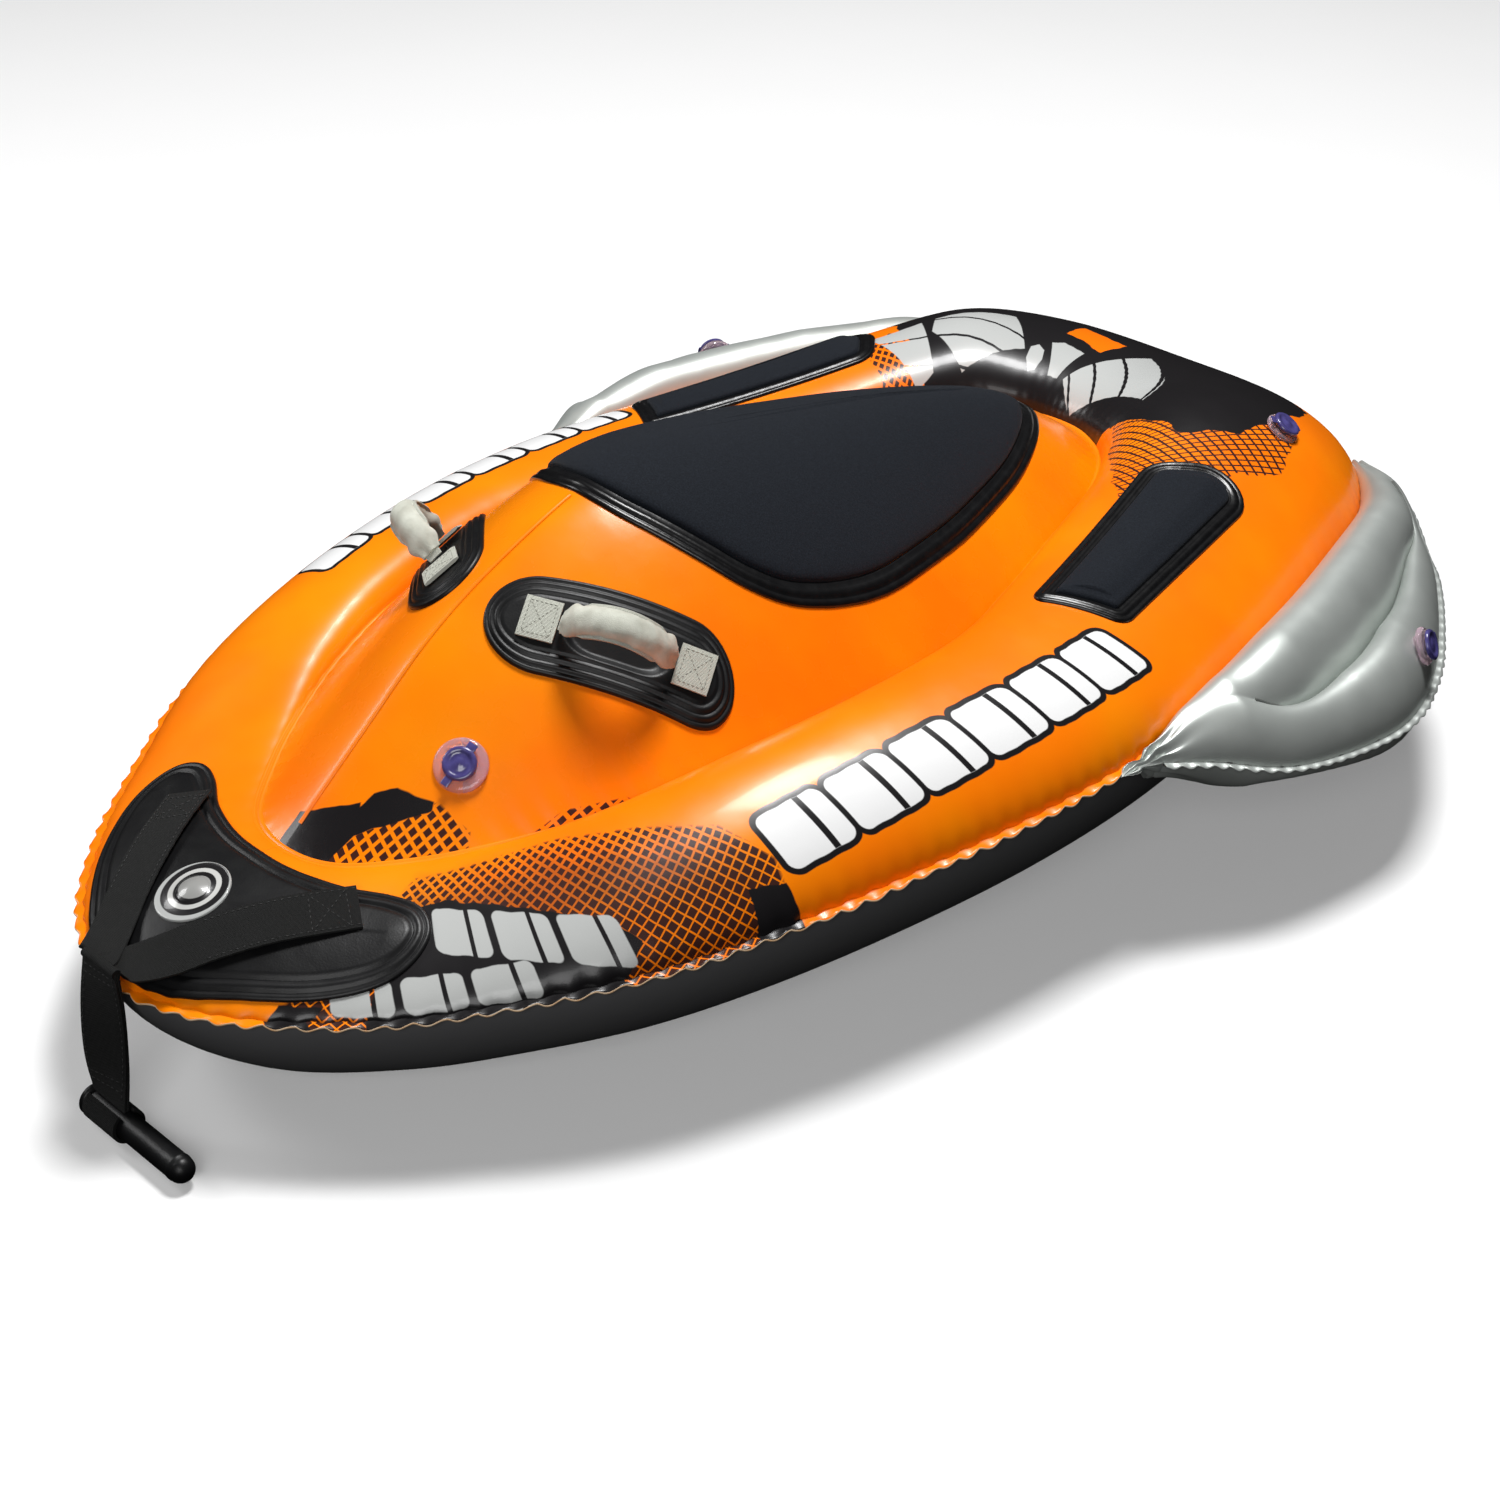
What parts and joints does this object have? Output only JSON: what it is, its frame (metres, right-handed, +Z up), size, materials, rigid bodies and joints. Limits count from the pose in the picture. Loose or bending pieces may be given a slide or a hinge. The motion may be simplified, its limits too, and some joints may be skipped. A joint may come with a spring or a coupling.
{
  "type": "towable tube",
  "caption": "Single-rider inflatable towable tube shaped like a small watercraft, with seat, knee pads, grab handles, side sponsons, air valves and a nose tow strap.",
  "frame": {"origin": "middle of the flat bottom of the hull, on the surface that the tube stands on", "axes": "+Z up, -Y towards the nose and the tow strap, +Y towards the stern, +X towards the port side"},
  "size_m": [1.1618, 1.6823, 0.4587],
  "materials": {
    "deck_fabric": "glossy orange coated fabric",
    "hull_fabric": "satin dark grey coated fabric",
    "sponson_fabric": "satin silver grey coated fabric",
    "pad_foam": "closed-cell foam faced with blue-black knit",
    "pad_border": "glossy black welded border",
    "patch_rubber": "moulded black rubber, satin",
    "tow_webbing": "black woven webbing",
    "toggle_rubber": "smooth black rubber",
    "badge": "silver printed boss",
    "grip_webbing": "off-white woven webbing and foam sleeve",
    "valve_body": "soft cloudy plastic",
    "valve_cap": "violet blue plastic",
    "valve_flap": "thin rubber disc"
  },
  "bodies": {
    "hull": {"deck_ring": "deck_fabric", "centre_body": "deck_fabric", "seam_strip": "deck_fabric", "gutter_strip": "deck_fabric", "hull_bottom": "hull_fabric", "chamber_divider": "hull_fabric", "baffle_middle": "hull_fabric", "baffle_port": "hull_fabric", "baffle_starboard": "hull_fabric", "sponson_top_port": "sponson_fabric", "sponson_top_starboard": "sponson_fabric", "sponson_under_port": "sponson_fabric", "sponson_under_starboard": "sponson_fabric", "sponson_flange_port": "sponson_fabric", "sponson_flange_starboard": "sponson_fabric", "seat_pad": "pad_foam", "knee_pad_port": "pad_foam", "knee_pad_starboard": "pad_foam", "seat_border": "pad_border", "knee_border_port": "pad_border", "knee_border_starboard": "pad_border", "nose_patch": "patch_rubber", "handle_patch_port": "patch_rubber", "handle_patch_starboard": "patch_rubber", "nose_strap_port": "tow_webbing", "nose_strap_starboard": "tow_webbing", "nose_badge": "badge", "handle_tab_port_fore": "grip_webbing", "handle_tab_port_aft": "grip_webbing", "handle_tab_starboard_fore": "grip_webbing", "handle_tab_starboard_aft": "grip_webbing", "valve_body_hood": "valve_body", "valve_body_stern": "valve_body", "valve_body_port": "valve_body", "valve_body_starboard": "valve_body"},
    "handle_port": {"handle_webbing_port": "grip_webbing", "handle_sleeve_port": "grip_webbing"},
    "handle_starboard": {"handle_webbing_starboard": "grip_webbing", "handle_sleeve_starboard": "grip_webbing"},
    "tow_strap": {"tow_strap": "tow_webbing"},
    "tow_toggle": {"tow_toggle": "toggle_rubber"},
    "cap_hood": {"valve_cap_hood": "valve_cap"},
    "flap_hood": {"valve_flap_hood": "valve_flap"},
    "cap_stern": {"valve_cap_stern": "valve_cap"},
    "flap_stern": {"valve_flap_stern": "valve_flap"},
    "cap_port": {"valve_cap_port": "valve_cap"},
    "flap_port": {"valve_flap_port": "valve_flap"},
    "cap_starboard": {"valve_cap_starboard": "valve_cap"},
    "flap_starboard": {"valve_flap_starboard": "valve_flap"}
  },
  "joints": [
    {"name": "handle_port_swing", "type": "hinge", "parent": "hull", "child": "handle_port", "pos_m": [0.13404, -0.29284, 0.35093], "axis": [0.7361, 0.606, -0.3016], "range_deg": [-38, 38]},
    {"name": "handle_starboard_swing", "type": "hinge", "parent": "hull", "child": "handle_starboard", "pos_m": [-0.13404, -0.29284, 0.35093], "axis": [-0.7361, 0.606, -0.3016], "range_deg": [-38, 38]},
    {"name": "tow_strap_swing", "type": "hinge", "parent": "hull", "child": "tow_strap", "pos_m": [0.01, -0.803, 0.176], "axis": [-1, 0, 0], "range_deg": [-5, 110]},
    {"name": "tow_toggle_roll", "type": "hinge", "parent": "tow_strap", "child": "tow_toggle", "pos_m": [0.017, -0.817, 0.0173], "axis": [1, 0, 0], "continuous": true},
    {"name": "cap_hood_open", "type": "hinge", "parent": "hull", "child": "cap_hood", "pos_m": [0.09702, -0.47879, 0.2572], "axis": [0.8888, 0.2667, -0.3726], "range_deg": [0, 120]},
    {"name": "flap_hood_open", "type": "hinge", "parent": "hull", "child": "flap_hood", "pos_m": [0.0858, -0.45539, 0.24717], "axis": [-0.8888, -0.2667, 0.3726], "range_deg": [0, 60], "stiffness_Nm_per_rad": 0.002, "springref_deg": -17.19},
    {"name": "cap_stern_open", "type": "hinge", "parent": "hull", "child": "cap_stern", "pos_m": [0.25374, 0.61972, 0.31183], "axis": [-0.7922, 0.4951, 0.3569], "range_deg": [0, 120]},
    {"name": "flap_stern_open", "type": "hinge", "parent": "hull", "child": "flap_stern", "pos_m": [0.23895, 0.60891, 0.29398], "axis": [0.7922, -0.4951, -0.3569], "range_deg": [0, 60], "stiffness_Nm_per_rad": 0.002, "springref_deg": -17.19},
    {"name": "cap_port_open", "type": "hinge", "parent": "hull", "child": "cap_port", "pos_m": [0.54677, 0.45459, 0.21033], "axis": [0.3974, 0.1066, -0.9114], "range_deg": [0, 120]},
    {"name": "flap_port_open", "type": "hinge", "parent": "hull", "child": "flap_port", "pos_m": [0.52368, 0.45117, 0.19986], "axis": [-0.3974, -0.1066, 0.9114], "range_deg": [0, 60], "stiffness_Nm_per_rad": 0.002, "springref_deg": -17.19},
    {"name": "cap_starboard_open", "type": "hinge", "parent": "hull", "child": "cap_starboard", "pos_m": [-0.54677, 0.45459, 0.21033], "axis": [0.3974, -0.1066, 0.9114], "range_deg": [0, 120]},
    {"name": "flap_starboard_open", "type": "hinge", "parent": "hull", "child": "flap_starboard", "pos_m": [-0.52368, 0.45117, 0.19986], "axis": [-0.3974, 0.1066, -0.9114], "range_deg": [0, 60], "stiffness_Nm_per_rad": 0.002, "springref_deg": -17.19}
  ]
}
